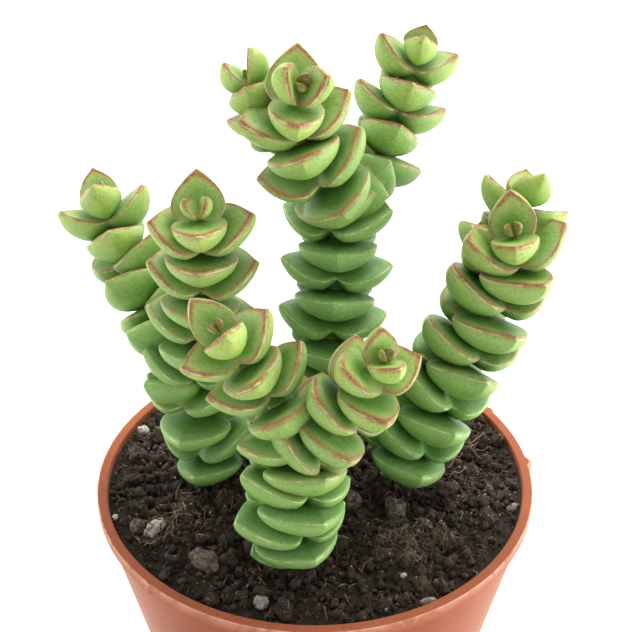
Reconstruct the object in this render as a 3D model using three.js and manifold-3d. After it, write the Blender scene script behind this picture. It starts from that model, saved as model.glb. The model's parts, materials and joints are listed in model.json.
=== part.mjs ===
// A potted crassula: a tapered plastic nursery pot, its soil, and four plants whose thick leaves
// sit in crossed pairs up each stem. Millimetres, +Z up, origin on the table under the pot's axis.
import * as THREE from "three";
import { mergeVertices } from "three/addons/utils/BufferGeometryUtils.js";
import Module from "manifold-3d";

const wasm = await Module();
wasm.setup();

// Driving dimensions of the pot
const POT_HEIGHT = 75;
const RIM_RADIUS = 42.5;
const LIP_HEIGHT = 2.2;
const LIP_STEP = 0.7; // how far the lip stands out from the wall
const EDGE_CHAMFER = 0.35;
const WALL = 1.2;
const WALL_TAPER = 0.187; // radius lost over each millimetre down
const FLOOR_THICKNESS = 1.8;
const DRAIN_HOLES = 6;
const DRAIN_RADIUS = 3.2;
const DRAIN_CIRCLE = 17;
const DRAIN_SIDES = 16;
const POT_SIDES = 64;

// Driving dimensions of the soil
const CLEARANCE = 0.3; // kept between pieces that touch
const SOIL_LEVEL = 74.2;
const SOIL_RELIEF = 0.8; // greatest height of a lump
const SOIL_LUMPS = 70;
const LUMP_RADIUS = 4.5;
const SOIL_EDGE = 3; // width of the calm strip along the pot
const SOIL_RINGS = 11;
const SOIL_SECTORS = 44;
const SOIL_SEED = 11;
const FOOT_RADIUS = 9; // of the rise or dip at the foot of each plant
const HOLE_DEPTH = 9;
const HOLE_SIDES = 12;

// Driving dimensions of the plants
const STEM_RADIUS = 1.7;
const STEM_SIDES = 6;
const STEM_STEPS = 5;
const STEM_TIP = 0.4; // radius of a head's stem in its bud, over the usual one
const STEM_TAPER = 7; // length over which it thins
const LEAF_CUP = 0.04; // rise of the point over the leaf's length
const WIDEST = 0.22; // where a leaf is widest, from the stem's axis to its point
const OLD_OPEN = 80; // degrees between the stem and a full-grown leaf
const LOWEST = 4; // least height of a pair above the foot of its plant
const LOW_DEPTH = 0.43; // thickness over the length of the leaves nearest the soil
const FULL_HEIGHT = 10; // height above the foot from which leaves have their full thickness

// From the bud down: length of a leaf over the full one, its half-width over its length, its angle
// from the stem in degrees, the step from the pair above over the full one, the half-width where
// the pair meets over the greatest, the thickness above the margin and below it over the length,
// and how blunt the point is (the lower, the blunter)
const GROWTH = [0.26, 0.77, 0.92, 0.99, 1];
const WIDTHS = [0.6, 0.56, 0.61, 0.67, 0.7, 0.74];
const OPENING = [26, 58, 73, 77, 79, OLD_OPEN];
const STEPS = [0, 0.3, 0.55, 0.75, 0.9, 1];
const WAISTS = [0.92, 0.9, 0.87, 0.83, 0.8, 0.78];
const CROWNS = [0.02, 0.02, 0.02, 0.04, 0.07, 0.1];
const DEPTHS = [0.58, 0.55, 0.52, 0.49, 0.47, 0.46];
const POINTS = [0.9, 0.9, 0.88, 0.86, 0.85, 0.85];

// ground is how far the soil rises at a plant's foot. Each shoot follows a curve of four points.
// leaf is its full leaf length, step its full distance between pairs, turn the compass angle of
// its first pair, twist what each pair adds to a quarter turn, sway the extra turn of the top
// pairs, slim and plump its leaves' width and thickness over the usual ones, and open the angle of
// its full-grown leaves. A trunk has only full-grown pairs, the first of them phase steps down.
// A head ends in a bud, which is phase pairs from opening.
const PLANTS = {
  plant_left: {
    color: 0x6f9a3e,
    ground: 0.3,
    trunk: {
      path: [[-18.2, -3.6, 75], [-20.2, -1.7, 82], [-21.1, -5.1, 88.9], [-22.1, -5.1, 96.7]],
      leaf: 9.1, step: 5.8, turn: -18,
    },
    heads: [
      {
        path: [[-22.1, -4.4, 96.5], [-20.7, -4, 109.9], [-17.8, -6.5, 123.1], [-18, -12.7, 133.9]],
        leaf: 9, step: 5.2, turn: 6, phase: -0.37,
      },
      {
        path: [[-21.8, -4.3, 95], [-23.5, 0.9, 108.2], [-35.7, 11.9, 107.3], [-39.4, 11.7, 128]],
        leaf: 9.2, step: 5.27, turn: 25, twist: -8.9, sway: [0, 2, 4, 14, -18],
        slim: 0.92, plump: 1.12,
      },
    ],
  },
  plant_front: {
    color: 0x7aa545,
    ground: -0.4,
    trunk: {
      path: [[-3.6, -24, 75], [-5.2, -27.9, 82.6], [-2.8, -24, 90.6], [-2.4, -22.9, 96.1]],
      leaf: 9.8, step: 3.23, turn: 116, phase: 0.5, open: 90, plump: 0.9,
    },
    heads: [
      {
        path: [[-2.2, -23.8, 96.8], [7.3, -26.3, 108.9], [8.6, -26.4, 112.5], [10.3, -29.9, 118.2]],
        leaf: 8.6, step: 5, turn: 24, phase: 0.33,
      },
      {
        path: [[-2.2, -23.8, 96.8], [-9.4, -21.9, 114.1], [-11.3, -25.2, 114.3], [-14.1, -28, 121.8]],
        leaf: 8.6, step: 5.45, turn: 29, twist: -3, slim: 0.95,
      },
    ],
  },
  plant_right: {
    color: 0x6d9840,
    ground: -1.8,
    heads: [
      {
        path: [[14.4, -4.2, 75], [24.3, -7.7, 100.9], [35.7, -0.1, 119.8], [32.2, -7.9, 128.6]],
        leaf: 10.1, step: 5.26, turn: 14, phase: 0.12, sway: [0, -19, -1, 10, 0, 8],
      },
      {
        path: [[32.1, -5, 119.6], [32.2, -1.3, 124], [35.1, 0.9, 126.9], [36.6, 2.2, 132.5]],
        leaf: 8.3, step: 4.27, turn: -5,
      },
    ],
  },
  plant_back: {
    color: 0x658f3c,
    ground: -0.4,
    trunk: {
      path: [[0, 5, 75], [0.7, -1.9, 94], [6.7, 6, 121.5], [2.9, 1.9, 132.9]],
      leaf: 9.6, step: 5.04, turn: 84, twist: 1.5, sway: [3, -12], open: 86,
    },
    heads: [
      {
        path: [[3.9, 2.4, 132], [-1, -6, 138.7], [-5.4, -0.7, 145], [-1.8, -9.8, 152.6]],
        leaf: 9.4, step: 4.96, turn: 91, phase: 0.28, sway: [0, -3, 8, 21, 2, 4],
        slim: 0.92,
      },
      {
        path: [[3.9, 2.4, 132], [9.1, 7.8, 127], [15.6, 13.5, 144.8], [17.6, 8.6, 155.5]],
        leaf: 8.1, step: 4.63, turn: -3, phase: 0.24, slim: 0.94, plump: 1.2,
      },
      {
        path: [[-2.8, -2, 142.3], [-8, 1.9, 144.3], [-9.2, 0.8, 148.2], [-11, 1.2, 151.9]],
        leaf: 6.3, step: 3.7, turn: 87, phase: 0.1, slim: 1.1, plump: 1.1,
      },
    ],
  },
};

// Value of a table at a fractional place, held at its ends
function along(values, place) {
  const at = THREE.MathUtils.clamp(place, 0, values.length - 1);
  const low = Math.floor(at);
  const high = Math.min(low + 1, values.length - 1);
  return THREE.MathUtils.lerp(values[low], values[high], at - low);
}

// A repeatable draw between 0 and 1
function seeded(seed) {
  let state = seed;
  return () => {
    state = (state * 16807) % 2147483647;
    return state / 2147483647;
  };
}

// A closed geometry as a solid that can be joined and cut
function solid(geometry) {
  const bare = new THREE.BufferGeometry();
  bare.setAttribute("position", geometry.getAttribute("position"));
  bare.setIndex(geometry.index);
  const merged = mergeVertices(bare, 1e-4);
  return new wasm.Manifold(new wasm.Mesh({
    numProp: 3,
    vertProperties: new Float32Array(merged.attributes.position.array),
    triVerts: new Uint32Array(merged.index.array),
  }));
}

// A solid as a named mesh
function piece(name, shape, material) {
  const mesh = shape.getMesh();
  const geometry = new THREE.BufferGeometry();
  const points = new Float32Array(mesh.vertProperties);
  geometry.setAttribute("position", new THREE.BufferAttribute(points, 3));
  geometry.setIndex(new THREE.BufferAttribute(new Uint32Array(mesh.triVerts), 1));
  const faceted = geometry.toNonIndexed();
  faceted.computeVertexNormals();
  const made = new THREE.Mesh(faceted, material);
  made.name = name;
  return made;
}

// Rings of points that run anticlockwise seen from the last point, closed by a point at each end
function skin(first, rings, last) {
  const count = rings[0].length;
  const points = [first, ...rings.flat(), last];
  const end = points.length - 1;
  const faces = [];
  for (let i = 0; i < count; i++) {
    const next = (i + 1) % count;
    faces.push(0, 1 + next, 1 + i);
    for (let r = 0; r + 1 < rings.length; r++) {
      const here = 1 + r * count;
      const there = here + count;
      faces.push(here + i, here + next, there + next);
      faces.push(here + i, there + next, there + i);
    }
    faces.push(end, end - count + i, end - count + next);
  }
  const geometry = new THREE.BufferGeometry().setFromPoints(points);
  geometry.setIndex(faces);
  return solid(geometry);
}

// An upright round post with flat ends
function post([x, y], radius, low, high, sides) {
  const ring = (z) => Array.from({ length: sides }, (_, s) => {
    const turn = (s / sides) * Math.PI * 2;
    return new THREE.Vector3(x + radius * Math.cos(turn), y + radius * Math.sin(turn), z);
  });
  return skin(new THREE.Vector3(x, y, low), [ring(low), ring(high)], new THREE.Vector3(x, y, high));
}

function joined(shapes) {
  let list = shapes;
  while (list.length > 1) {
    const next = [];
    for (let i = 0; i < list.length; i += 2) {
      next.push(i + 1 < list.length ? list[i].add(list[i + 1]) : list[i]);
    }
    list = next;
  }
  return list[0];
}

// Radii of the pot's wall at a height
const LIP_FOOT = POT_HEIGHT - LIP_HEIGHT;
const wallOutside = (z) => RIM_RADIUS - LIP_STEP - WALL_TAPER * Math.max(LIP_FOOT - z, 0);
const wallInside = (z) => wallOutside(z) - WALL;

function pot() {
  const profile = [
    [0, 0],
    [wallOutside(0) - EDGE_CHAMFER, 0],
    [wallOutside(0), EDGE_CHAMFER],
    [wallOutside(LIP_FOOT), LIP_FOOT],
    [RIM_RADIUS, LIP_FOOT],
    [RIM_RADIUS, POT_HEIGHT - EDGE_CHAMFER],
    [RIM_RADIUS - EDGE_CHAMFER, POT_HEIGHT],
    [wallInside(POT_HEIGHT), POT_HEIGHT],
    [wallInside(LIP_FOOT), LIP_FOOT],
    [wallInside(FLOOR_THICKNESS), FLOOR_THICKNESS],
    [0, FLOOR_THICKNESS],
  ].map(([radius, z]) => new THREE.Vector2(radius, z));
  const cup = solid(new THREE.LatheGeometry(profile, POT_SIDES).rotateX(Math.PI / 2));
  const drains = Array.from({ length: DRAIN_HOLES }, (_, i) => {
    const turn = (i / DRAIN_HOLES) * Math.PI * 2;
    const centre = [DRAIN_CIRCLE * Math.cos(turn), DRAIN_CIRCLE * Math.sin(turn)];
    return post(centre, DRAIN_RADIUS, -1, FLOOR_THICKNESS + 1, DRAIN_SIDES);
  });
  return cup.subtract(joined(drains));
}

function soil(feet) {
  const draw = seeded(SOIL_SEED);
  const edge = wallInside(POT_HEIGHT) - CLEARANCE;
  const lumps = Array.from({ length: SOIL_LUMPS }, () => {
    const turn = draw() * Math.PI * 2;
    const reach = edge * Math.sqrt(draw());
    return {
      x: reach * Math.cos(turn),
      y: reach * Math.sin(turn),
      radius: LUMP_RADIUS * (0.6 + 0.8 * draw()),
      height: SOIL_RELIEF * (2 * draw() - 1),
    };
  });
  const bell = (x, y, radius) => Math.exp(-(x * x + y * y) / (radius * radius));
  const level = (x, y) => {
    let z = 0;
    for (const lump of lumps) z += lump.height * bell(x - lump.x, y - lump.y, lump.radius);
    z *= THREE.MathUtils.clamp((edge - Math.hypot(x, y)) / SOIL_EDGE, 0, 1);
    for (const { foot, ground } of feet) z += ground * bell(x - foot[0], y - foot[1], FOOT_RADIUS);
    return SOIL_LEVEL + z;
  };
  const circle = (radius, height) => Array.from({ length: SOIL_SECTORS }, (_, s) => {
    const turn = (-s / SOIL_SECTORS) * Math.PI * 2;
    const [x, y] = [radius * Math.cos(turn), radius * Math.sin(turn)];
    return new THREE.Vector3(x, y, height(x, y));
  });
  const top = Array.from({ length: SOIL_RINGS }, (_, r) => circle((edge * (r + 1)) / SOIL_RINGS, level));
  const low = FLOOR_THICKNESS + CLEARANCE;
  const sides = [LIP_FOOT, low].map((z) => circle(wallInside(z) - CLEARANCE, () => z));
  const body = skin(
    new THREE.Vector3(0, 0, level(0, 0)),
    [...top, ...sides],
    new THREE.Vector3(0, 0, low),
  );
  const holes = feet.map(({ foot }) => post(
    foot, STEM_RADIUS + CLEARANCE, SOIL_LEVEL - HOLE_DEPTH, SOIL_LEVEL + HOLE_DEPTH, HOLE_SIDES,
  ));
  return body.subtract(joined(holes));
}

// The curve of a shoot, and the pairs of leaves along it
class Shoot {
  constructor(spec) {
    const usual = { twist: 0, phase: 0, slim: 1, plump: 1, open: OLD_OPEN, sway: [] };
    Object.assign(this, usual, spec);
    this.curve = new THREE.CubicBezierCurve3(...this.path.map((p) => new THREE.Vector3(...p)));
    this.length = this.curve.getLength();
  }

  // Place and directions at a distance below the tip, with a compass angle
  frame(back, angle) {
    const place = THREE.MathUtils.clamp(1 - back / this.length, 0, 1);
    const centre = this.curve.getPointAt(place);
    const up = this.curve.getTangentAt(place);
    const turn = THREE.MathUtils.degToRad(angle);
    const out = new THREE.Vector3(Math.cos(turn), Math.sin(turn), 0);
    out.addScaledVector(up, -out.dot(up)).normalize();
    const across = new THREE.Vector3().crossVectors(up, out);
    return { centre, up, out, across };
  }

  pairs(fullGrown) {
    const made = [];
    let back = fullGrown ? this.phase * this.step : 0;
    const low = this.path[0][2] > SOIL_LEVEL + 1 ? this.step / 2 : LOWEST;
    for (let count = 0; back < this.length - low; ) {
      const age = fullGrown ? Infinity : count - this.phase;
      const open = fullGrown ? this.open : along(OPENING, age);
      const length = this.leaf * along(GROWTH, age);
      const frame = this.frame(back, this.turn + count * (90 + this.twist) + (this.sway[count] ?? 0));
      const risen = (frame.centre.z - POT_HEIGHT - LOWEST) / (FULL_HEIGHT - LOWEST);
      const full = along(DEPTHS, age);
      made.push({
        ...frame,
        length,
        half: length * along(WIDTHS, age) * this.slim,
        depth: length * this.plump * along([LOW_DEPTH, full], risen),
        crown: length * along(CROWNS, age) * this.plump,
        waist: along(WAISTS, age),
        point: along(POINTS, age),
        open: THREE.MathUtils.degToRad(open),
      });
      count += 1;
      back += this.step * (fullGrown ? 1 : along(STEPS, count));
    }
    return made;
  }
}

// Where a leaf has its sections, from the stem's axis to its point
const SECTIONS = [0, 0.3, 0.76];

// Half-width of a leaf over its greatest, and its thickness over its greatest
const outline = (k, waist, point) => (k < WIDEST
  ? 1 - (1 - waist) * (1 - k / WIDEST) ** 2
  : (1 - ((k - WIDEST) / (1 - WIDEST)) ** 2.2) ** point);
const fullness = (k) => Math.sqrt(1 - k ** 4) * (1 - 0.2 * Math.max(1 - k / WIDEST, 0) ** 2);

// Two opposite leaves grown together round the stem: swollen below, nearly flat above
function leafPair({ centre, up, out, across, length, half, depth, crown, waist, point, open }) {
  const at = (side, k, v, w) => {
    const run = k * length;
    const lift = w + LEAF_CUP * length * k * k;
    const height = run * Math.cos(open) + lift * (k === 0 ? 1 : Math.sin(open));
    const reach = k === 0 ? 0 : side * (run * Math.sin(open) - lift * Math.cos(open));
    return centre.clone()
      .addScaledVector(out, reach)
      .addScaledVector(across, v)
      .addScaledVector(up, height);
  };
  const section = (side, k) => {
    const wide = half * outline(k, waist, point);
    const deep = depth * fullness(k);
    return [
      at(side, k, wide, 0),
      at(side, k, 0, crown * fullness(k)),
      at(side, k, -wide, 0),
      at(side, k, -wide * 0.66, -deep * 0.85),
      at(side, k, 0, -deep),
      at(side, k, wide * 0.66, -deep * 0.85),
    ];
  };
  const rings = [
    ...SECTIONS.slice(1).reverse().map((k) => section(-1, k)),
    ...SECTIONS.map((k) => section(1, k)),
  ];
  return skin(at(-1, 1, 0, 0), rings, at(1, 1, 0, 0));
}

// A round stem along a shoot, with a point at each end. A head's stem thins towards its bud.
function stem(shoot, isTrunk) {
  const ring = (back) => Array.from({ length: STEM_SIDES }, (_, s) => {
    const { centre, out, across } = shoot.frame(back, 0);
    const turn = (s / STEM_SIDES) * Math.PI * 2;
    const grown = isTrunk ? 1 : Math.min(back / STEM_TAPER, 1);
    const radius = STEM_RADIUS * THREE.MathUtils.lerp(STEM_TIP, 1, grown);
    return centre.clone()
      .addScaledVector(out, radius * Math.cos(turn))
      .addScaledVector(across, radius * Math.sin(turn));
  });
  const places = Array.from({ length: STEM_STEPS + 1 }, (_, i) => shoot.length * (1 - i / STEM_STEPS));
  const [first, last] = [shoot.frame(shoot.length, 0), shoot.frame(0, 0)];
  return skin(
    first.centre.clone().addScaledVector(first.up, -STEM_RADIUS / 3),
    places.map(ring),
    last.centre.clone().addScaledVector(last.up, STEM_RADIUS * STEM_TIP / 3),
  );
}

// Where a plant's stem enters the soil
const footOf = ({ trunk, heads, ground }) => ({ foot: (trunk ?? heads[0]).path[0], ground });

function plant(spec) {
  const shoots = [spec.trunk, ...spec.heads].filter(Boolean).map((shoot) => new Shoot(shoot));
  const { foot } = footOf(spec);
  const shapes = [post(foot, STEM_RADIUS, SOIL_LEVEL - HOLE_DEPTH + CLEARANCE, foot[2] + 1, HOLE_SIDES)];
  for (const shoot of shoots) {
    const isTrunk = shoot.path === spec.trunk?.path;
    shapes.push(stem(shoot, isTrunk));
    shapes.push(...shoot.pairs(isTrunk).map(leafPair));
  }
  // The outer shell alone, so that a hollow sealed among the leaves is filled
  return joined(shapes).decompose().sort((a, b) => b.volume() - a.volume())[0];
}

const object = new THREE.Group();

object.add(piece("pot", pot(), new THREE.MeshStandardMaterial({
  color: 0xc67350, roughness: 0.42, metalness: 0,
})));
object.add(piece("soil", soil(Object.values(PLANTS).map(footOf)), new THREE.MeshStandardMaterial({
  color: 0x3a2d26, roughness: 0.95, metalness: 0,
})));
for (const [name, spec] of Object.entries(PLANTS)) {
  object.add(piece(name, plant(spec), new THREE.MeshStandardMaterial({
    color: spec.color, roughness: 0.5, metalness: 0,
  })));
}

export default object;
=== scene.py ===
"""Looks of the potted crassula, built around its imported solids. The shapes are worked out in
millimetres, and a mesh takes them in metres, the frame's unit."""

import json
import math
import random

import bmesh
import bpy
import numpy as np
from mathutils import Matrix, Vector, noise
from mathutils.bvhtree import BVHTree

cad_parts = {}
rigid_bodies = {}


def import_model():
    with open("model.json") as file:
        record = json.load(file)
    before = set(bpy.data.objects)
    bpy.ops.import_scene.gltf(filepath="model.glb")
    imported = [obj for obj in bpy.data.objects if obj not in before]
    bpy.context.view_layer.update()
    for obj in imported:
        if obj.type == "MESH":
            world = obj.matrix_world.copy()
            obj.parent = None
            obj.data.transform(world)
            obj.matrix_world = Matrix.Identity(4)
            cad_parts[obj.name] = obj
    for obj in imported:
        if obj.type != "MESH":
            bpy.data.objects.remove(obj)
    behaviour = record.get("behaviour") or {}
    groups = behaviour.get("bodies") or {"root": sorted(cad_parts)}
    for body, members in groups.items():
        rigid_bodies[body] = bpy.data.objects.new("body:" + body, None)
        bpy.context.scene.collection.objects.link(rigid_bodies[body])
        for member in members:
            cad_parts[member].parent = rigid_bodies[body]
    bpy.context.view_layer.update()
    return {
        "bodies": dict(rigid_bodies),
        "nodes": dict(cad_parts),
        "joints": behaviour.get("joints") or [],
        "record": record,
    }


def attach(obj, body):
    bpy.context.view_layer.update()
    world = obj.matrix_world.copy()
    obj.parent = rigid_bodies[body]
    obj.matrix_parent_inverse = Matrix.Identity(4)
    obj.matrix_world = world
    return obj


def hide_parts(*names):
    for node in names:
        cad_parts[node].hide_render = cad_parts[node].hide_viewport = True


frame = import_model()
MM = 0.001
FULL_TURN = 2 * math.pi

# Driving dimensions of the pot, as in the solids
POT_HEIGHT = 75
RIM_RADIUS = 42.5
LIP_HEIGHT = 2.2
LIP_STEP = 0.7
LIP_FOOT = POT_HEIGHT - LIP_HEIGHT
WALL = 1.2
WALL_TAPER = 0.187
FLOOR_THICKNESS = 1.8
DRAIN_HOLES = 6
DRAIN_RADIUS = 3.2
DRAIN_CIRCLE = 17

# Finer marks of the moulding, which only the visual model has
EDGE_ROUND = 0.35
CORNER_ROUND = 1.2
ARC_STEPS = 5  # of a rounded corner
FLASH = 0.1  # height of the moulding line along the lip's top edge
FLASH_WIDTH = 0.12  # how far its crest stands in from the rim
NUBS = [(1, 0.9, 0.9), (26, 0.7, 0.8), (-131, 0.25, 0.5)]  # angle, height and half-width
POT_SECTORS = 512
HUB_RADIUS = 4  # of the flat middle of the floor
DRAIN_SIDES = 48

# Driving dimensions of the soil, as in the solids
CLEARANCE = 0.3
SOIL_LEVEL = 74.2
SOIL_RELIEF = 0.8
SOIL_LUMPS = 70
LUMP_RADIUS = 4.5
SOIL_EDGE = 3
SOIL_SEED = 11
FOOT_RADIUS = 9
FOOT_DEPTH = 8.7  # how far a stem goes into the soil

# Driving dimensions of the plants, as in the solids
STEM_RADIUS = 1.7
STEM_TIP = 0.25  # radius of a head's stem in its bud, over the usual one
STEM_TAPER = 7  # length over which it thins
LEAF_CUP = 0.04
WIDEST = 0.22
OLD_OPEN = 80
LOWEST = 4  # least height of a pair above the foot of its plant
LOW_DEPTH = 0.42  # thickness over the length of the leaves nearest the soil
FULL_HEIGHT = 10  # height above the foot from which leaves have their full thickness
GROWTH = [0.26, 0.77, 0.92, 0.99, 1]
WIDTHS = [0.6, 0.56, 0.61, 0.67, 0.7, 0.74]
OPENING = [26, 58, 73, 77, 79, OLD_OPEN]
STEPS = [0, 0.3, 0.55, 0.75, 0.9, 1]
WAISTS = [0.86, 0.8, 0.76, 0.74, 0.73, 0.72]  # half-width where a pair meets, over the greatest
CROWNS = [0.01, -0.02, -0.02, 0.02, 0.07, 0.11]  # rise of the upper face over the length
DEPTHS = [0.58, 0.55, 0.52, 0.49, 0.47, 0.46]  # thickness below the margin over the length
POINTS = [1, 0.98, 0.96, 0.93, 0.9, 0.9]  # the lower, the blunter a leaf's point

# Finer form of a leaf, which only the visual model has
MARGIN_ROUND = 0.22  # radius of the edge between the upper and the lower face
BULGE = 0.03  # how far the sides swell out below the margin, over the leaf's length
FRONT_BULGE = 0.16  # how much further they do so under the point
CUPS = [0.04, 0.07, 0.09, 0.11, 0.13, 0.14]  # rise of a point over its root, which sinks by the same
BOW = 0.06  # how far the underside stands out past the point, over the leaf's length
WAIST_CURVE = 1.4  # the higher, the shorter the waist
POINT_CURVE = 2.1  # the higher, the fuller a leaf in front of its widest place
SHANK = 0.14  # share of its length over which a leaf turns away from the stem
RIPPLES = 7  # radians that the wave of a margin runs through along a leaf
SIDE_STATIONS = 17
LOWER_POINTS = 18
UPPER_POINTS = 14
STEM_STEPS = 24
STEM_SIDES = 20

# What the leaves of a pair differ by: the range from which each leaf draws its own value
LEAF_FORMS = {
    "long": (-0.05, 0.04),  # extra length, over the length
    "wide": (-0.06, 0.05),  # extra width, over the width
    "cup": (0.65, 1.35),  # rise of the point, over the usual rise
    "bend": (-0.07, 0.07),  # how far the point bends sideways, over the length
    "droop": (-4, 4),  # degrees further open
    "keel": (0, 0.05),  # depth of the ridge below, over the length
    "wave": (0.008, 0.028),  # height of the margin's wave, over the length
    "shift": (0, FULL_TURN),  # where the wave starts
    "tone": (0, 1),  # lightness, which the material reads
}

# Ages are counted in pairs from the bud
BUD_AGE = 0.5  # below which a pair is still the bud
CLOSED_AGE = 1.5  # below which it may be more closed than usual
TRUNK_AGE = 7  # of a trunk's first pair
FOOT_AGE = 40  # stands for the woody foot of a stem

# ground is how far the soil rises at a plant's foot. Each shoot follows a curve of four points.
# leaf is its full leaf length, step its full distance between pairs, turn the compass angle of
# its first pair, twist what each pair adds to a quarter turn, sway the extra turn of the top
# pairs, slim and plump its leaves' width and thickness over the usual ones, and open the angle of
# its full-grown leaves. bud is the size of the bud over the usual leaf of its age, shut by how many
# degrees the pairs next to it are more closed than usual, small the size of a pair over the usual
# one, and short the share by which the second leaf of a pair is shorter, both by the pair's number
# from the tip. A trunk has only full-grown pairs, the first of them phase steps down. A head ends
# in a bud, which is phase pairs from opening.
USUAL_SHOOT = {
    "twist": 0, "phase": 0, "sway": [], "slim": 1, "plump": 1, "open": OLD_OPEN,
    "bud": 0.78, "shut": 6, "small": {}, "short": {},
}
PLANTS = {
    "plant_left": {
        "ground": 0.3,
        "trunk": {
            "path": [(-18.2, -3.6, 75), (-20.2, -1.7, 82), (-21.1, -5.1, 88.9), (-22.1, -5.1, 96.7)],
            "leaf": 9.1, "step": 5.8, "turn": -18,
        },
        "heads": [
            {
                "path": [(-22.1, -4.4, 96.5), (-20.7, -4, 109.9), (-17.8, -6.5, 123.1), (-18, -12.7, 133.9)],
                "leaf": 9, "step": 5.2, "turn": 6, "phase": -0.37,
            },
            {
                "path": [(-21.8, -4.3, 95), (-23.5, 0.9, 108.2), (-35.7, 11.9, 107.3), (-39.4, 11.7, 128)],
                "leaf": 9.2, "step": 5.27, "turn": 25, "twist": -8.9, "sway": [0, 2, 4, 14, -18],
                "slim": 0.92, "plump": 1.12,
            },
        ],
    },
    "plant_front": {
        "ground": -0.4,
        "trunk": {
            "path": [(-3.6, -24, 75), (-5.2, -27.9, 82.6), (-2.8, -24, 90.6), (-2.4, -22.9, 96.1)],
            "leaf": 9.8, "step": 3.23, "turn": 116, "phase": 0.5, "open": 90, "plump": 0.9,
            "small": {5: 0.74},
        },
        "heads": [
            {
                "path": [(-2.2, -23.8, 96.8), (7.3, -26.3, 108.9), (8.6, -26.4, 112.5), (10.3, -29.9, 118.2)],
                "leaf": 8.6, "step": 5, "turn": 24, "phase": 0.33,
            },
            {
                "path": [
                    (-2.2, -23.8, 96.8), (-9.4, -21.9, 114.1), (-11.3, -25.2, 114.3), (-14.1, -28, 121.8),
                ],
                "leaf": 8.6, "step": 5.45, "turn": 29, "twist": -3, "slim": 0.95, "shut": 15,
            },
        ],
    },
    "plant_right": {
        "ground": -1.8,
        "heads": [
            {
                "path": [(14.4, -4.2, 75), (24.3, -7.7, 100.9), (35.7, -0.1, 119.8), (32.2, -7.9, 128.6)],
                "leaf": 10.1, "step": 5.26, "turn": 14, "phase": 0.12, "sway": [0, -19, -1, 10, 0, 8],
            },
            {
                "path": [(32.1, -5, 119.6), (32.2, -1.3, 124), (35.1, 0.9, 126.9), (36.6, 2.2, 132.5)],
                "leaf": 8.3, "step": 4.27, "turn": -5, "short": {3: 0.5},
            },
        ],
    },
    "plant_back": {
        "ground": -0.4,
        "trunk": {
            "path": [(0, 5, 75), (0.7, -1.9, 94), (6.7, 6, 121.5), (2.9, 1.9, 132.9)],
            "leaf": 9.6, "step": 5.04, "turn": 84, "twist": 1.5, "sway": [3, -12], "open": 86,
        },
        "heads": [
            {
                "path": [(3.9, 2.4, 132), (-1, -6, 138.7), (-5.4, -0.7, 145), (-1.8, -9.8, 152.6)],
                "leaf": 9.4, "step": 4.96, "turn": 91, "phase": 0.28, "sway": [0, -3, 8, 21, 2, 4],
                "slim": 0.92, "shut": 17,
            },
            {
                "path": [(3.9, 2.4, 132), (9.1, 7.8, 127), (15.6, 13.5, 144.8), (17.6, 8.6, 155.5)],
                "leaf": 8.1, "step": 4.63, "turn": -3, "phase": 0.24, "slim": 0.94, "plump": 1.2,
                "bud": 0.5, "shut": 8, "short": {1: 0.33},
            },
            {
                "path": [(-2.8, -2, 142.3), (-8, 1.9, 144.3), (-9.2, 0.8, 148.2), (-11, 1.2, 151.9)],
                "leaf": 6.3, "step": 3.7, "turn": 87, "phase": 0.1, "slim": 1.25, "plump": 1.35,
                "bud": 0.3, "shut": 26,
            },
        ],
    },
}


def along(values, place):
    """Value of a list at a fractional place, held at its ends."""
    return float(np.interp(place, range(len(values)), values))


def smooth(x):
    x = np.clip(x, 0, 1)
    return x * x * (3 - 2 * x)


def circle(centre, radius, z, count):
    turn = np.linspace(0, FULL_TURN, count, endpoint=False)
    x = centre[0] + radius * np.cos(turn)
    y = centre[1] + radius * np.sin(turn)
    return np.stack([x, y, np.full(count, float(z))], axis=1)


def skin(first, rings, last):
    """Points and faces of a closed skin over rings that run anticlockwise seen from the last point."""
    count = len(rings[0])
    points = np.concatenate([[first], *rings, [last]])
    end = len(points) - 1
    faces = []
    for i in range(count):
        j = (i + 1) % count
        faces.append((0, 1 + j, 1 + i))
        for r in range(len(rings) - 1):
            here = 1 + r * count
            there = here + count
            faces.append((here + i, here + j, there + j, there + i))
        faces.append((end, end - count + i, end - count + j))
    return points, faces


def post(centre, radius, low, high, sides):
    """Points and faces of an upright round post."""
    rings = [circle(centre, radius, z, sides) for z in (low, high)]
    return skin((*centre[:2], low), rings, (*centre[:2], high))


def add_mesh(name, points, faces, values=None):
    """A smooth object from points in millimetres, with named values at its points."""
    mesh = bpy.data.meshes.new(name)
    mesh.from_pydata((np.asarray(points, float) * MM).tolist(), [], faces)
    for key, data in (values or {}).items():
        held = mesh.attributes.new(key, "FLOAT", "POINT")
        held.data.foreach_set("value", np.asarray(data, np.float32))
    mesh.polygons.foreach_set("use_smooth", [True] * len(mesh.polygons))
    mesh.update()
    made = bpy.data.objects.new(name, mesh)
    bpy.context.scene.collection.objects.link(made)
    return made


def add_bodies(name, bodies):
    """One object from many closed bodies, each with its points, its faces and its tone."""
    points, faces, tones = [], [], []
    total = 0
    for body_points, body_faces, tone in bodies:
        points.append(body_points)
        faces += [tuple(corner + total for corner in face) for face in body_faces]
        tones.append(np.full(len(body_points), tone))
        total += len(body_points)
    return add_mesh(name, np.concatenate(points), faces, {"tone": np.concatenate(tones)})


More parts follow.
